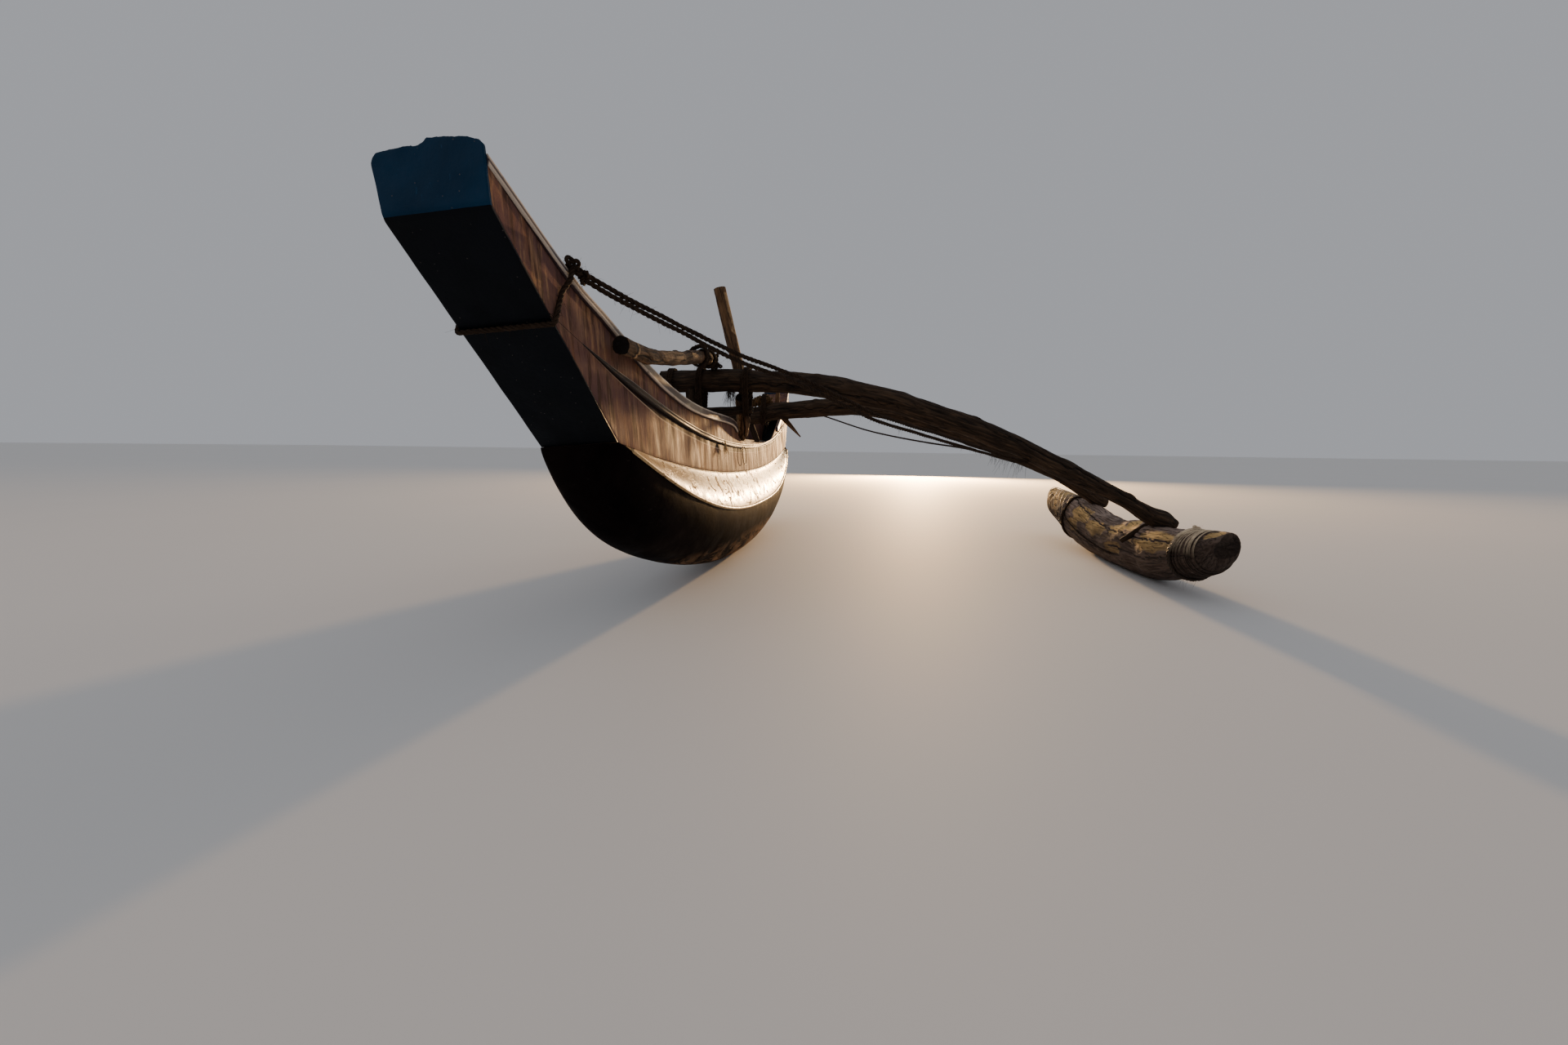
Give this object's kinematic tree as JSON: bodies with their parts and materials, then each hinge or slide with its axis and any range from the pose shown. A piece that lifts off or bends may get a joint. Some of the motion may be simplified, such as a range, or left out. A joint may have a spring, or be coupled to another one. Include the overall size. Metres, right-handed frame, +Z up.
{
  "type": "outrigger canoe",
  "caption": "Narrow double-ended outrigger canoe with a deep open trunk, raked stems, two crooked log booms and a log float, lashed with rope.",
  "frame": {"origin": "middle of the whole canoe's box, on the ground it stands on", "axes": "+X along the hull towards the near stem, +Y across towards the float, +Z up"},
  "size_m": [6, 3.1406, 1.7435],
  "materials": {
    "hull_paint": "painted glass-fibre skin, satin, scuffed",
    "pale_paint": "pale painted glass-fibre skin, glossy, chipped",
    "wall_paint": "grey painted glass-fibre skin, streaked",
    "stem_paint": "dark blue painted glass-fibre skin",
    "grey_wood": "weathered bare timber",
    "dark_wood": "dark weathered logs with bark",
    "coir": "hairy coir rope"
  },
  "bodies": {
    "root": {"hull_bottom_shell": "hull_paint", "forefoot_near": "hull_paint", "forefoot_far": "hull_paint", "shoulder_right": "pale_paint", "shoulder_left": "pale_paint", "bead_right": "pale_paint", "bead_left": "pale_paint", "trunk_wall_right": "wall_paint", "trunk_wall_left": "wall_paint", "gunwale_near_right": "wall_paint", "gunwale_near_left": "wall_paint", "gunwale_far_right": "wall_paint", "gunwale_far_left": "wall_paint", "end_deck_near": "wall_paint", "end_deck_far": "wall_paint", "rub_rail_right": "stem_paint", "rub_rail_left": "stem_paint", "stem_face_near": "stem_paint", "stem_face_far": "stem_paint", "stem_head_near": "stem_paint", "stem_head_far": "stem_paint", "thwart_near": "grey_wood", "thwart_middle": "grey_wood", "thwart_far": "grey_wood", "float_log": "grey_wood", "stowed_board": "dark_wood", "boom_near": "dark_wood", "boom_far": "dark_wood", "cross_bar": "dark_wood", "packing_block": "dark_wood", "splintered_post": "dark_wood", "far_post_right": "dark_wood", "far_post_left": "dark_wood", "pole": "dark_wood", "upright_peg": "dark_wood", "toggle_peg": "dark_wood", "crooked_log": "dark_wood", "float_peg": "dark_wood", "rope_bundle": "coir", "lashing_boom_left": "coir", "lashing_boom_middle": "coir", "lashing_boom_right": "coir", "lashing_far_boom": "coir", "lashing_log_inner": "coir", "lashing_log_outer": "coir", "lashing_float_far": "coir", "lashing_float_near": "coir", "stay_near": "coir", "stay_far": "coir"}
  },
  "joints": []
}
